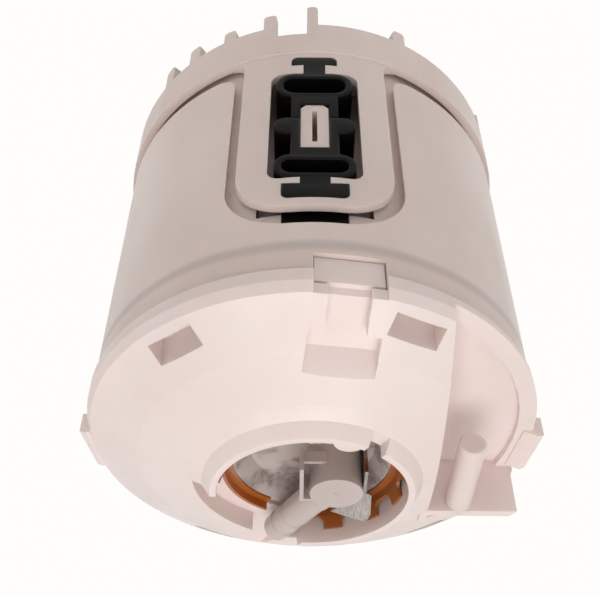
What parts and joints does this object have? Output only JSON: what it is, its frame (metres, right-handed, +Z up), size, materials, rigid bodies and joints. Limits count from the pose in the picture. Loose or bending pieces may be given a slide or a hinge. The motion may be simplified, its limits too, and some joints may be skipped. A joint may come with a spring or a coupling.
{
  "type": "fuel pump module",
  "caption": "In-tank fuel pump module: swirl pot on rubber mounts in a castellated ring, domed cap, electric pump with outlet elbow.",
  "frame": {"origin": "on the module's axis, at the level of its ring's longest tabs, on which it stands", "axes": "+Z up the pump towards its outlet, -Y towards the rubber mount that the picture shows, +X completes the frame"},
  "size_m": [0.1214, 0.116, 0.132],
  "materials": {
    "white_moulding": "satin, slightly translucent",
    "grey_moulding": "satin",
    "dark_moulding": "satin",
    "amber_moulding": "gloss",
    "rubber": "satin",
    "steel": "satin",
    "iron": "matt",
    "magnet": "matt",
    "die_cast": "satin",
    "copper": "satin",
    "brass": "satin",
    "bronze": "satin",
    "carbon": "matt"
  },
  "bodies": {
    "ring": {"mount_ring": "white_moulding", "isolator_front": "rubber", "isolator_right": "rubber", "isolator_left": "rubber"},
    "reservoir": {"reservoir_pot": "white_moulding", "reservoir_cap": "white_moulding", "return_stub": "white_moulding", "return_pipe": "white_moulding", "jet_nozzle": "grey_moulding", "pump_can": "steel", "inlet_cover": "die_cast", "chamber_plate": "die_cast", "lower_bearing": "bronze", "magnet_front": "magnet", "magnet_back": "magnet", "pump_end_cover": "grey_moulding", "upper_bearing": "bronze", "terminal_plus": "brass", "terminal_minus": "brass", "brush_spring_front": "steel", "brush_spring_back": "steel", "check_valve_spring": "steel", "check_valve_cage": "grey_moulding", "relief_spring": "steel", "relief_plug": "grey_moulding", "pump_retainer": "amber_moulding", "outlet_elbow": "grey_moulding", "elbow_clip": "steel", "strainer": "grey_moulding", "inlet_sleeve": "rubber"},
    "armature": {"impeller": "dark_moulding", "armature_core": "iron", "winding_head_low": "copper", "winding_head_high": "copper", "commutator": "copper", "motor_shaft": "steel"},
    "flap": {"inlet_flap": "rubber"},
    "brush_a": {"brush_front": "carbon"},
    "brush_b": {"brush_back": "carbon"},
    "poppet": {"check_valve_poppet": "grey_moulding"},
    "relief": {"relief_ball": "steel"}
  },
  "joints": [
    {"name": "suspension", "type": "slide", "parent": "ring", "child": "reservoir", "axis": [0, 0, 1], "range_m": [-0.002, 0.002], "stiffness_N_per_m": 30000, "deforming": ["isolator_front", "isolator_right", "isolator_left"]},
    {"name": "armature_spin", "type": "hinge", "parent": "reservoir", "child": "armature", "pos_m": [0, 0, 0.07], "axis": [0, 0, 1], "continuous": true},
    {"name": "inlet_flap_lift", "type": "slide", "parent": "reservoir", "child": "flap", "axis": [0, 0, 1], "range_m": [0, 0.0015]},
    {"name": "brush_front_slide", "type": "slide", "parent": "reservoir", "child": "brush_a", "axis": [0, 0, 1], "range_m": [0, 0.003], "stiffness_N_per_m": 250, "springref_m": -0.005, "deforming": ["brush_spring_front"]},
    {"name": "brush_back_slide", "type": "slide", "parent": "reservoir", "child": "brush_b", "axis": [0, 0, 1], "range_m": [0, 0.003], "stiffness_N_per_m": 250, "springref_m": -0.005, "deforming": ["brush_spring_back"]},
    {"name": "check_valve_lift", "type": "slide", "parent": "reservoir", "child": "poppet", "axis": [0, 0, 1], "range_m": [0, 0.002], "stiffness_N_per_m": 200, "springref_m": -0.003, "deforming": ["check_valve_spring"]},
    {"name": "relief_valve_lift", "type": "slide", "parent": "reservoir", "child": "relief", "axis": [0, 0, 1], "range_m": [0, 0.0015], "stiffness_N_per_m": 1500, "springref_m": -0.002, "deforming": ["relief_spring"]}
  ]
}
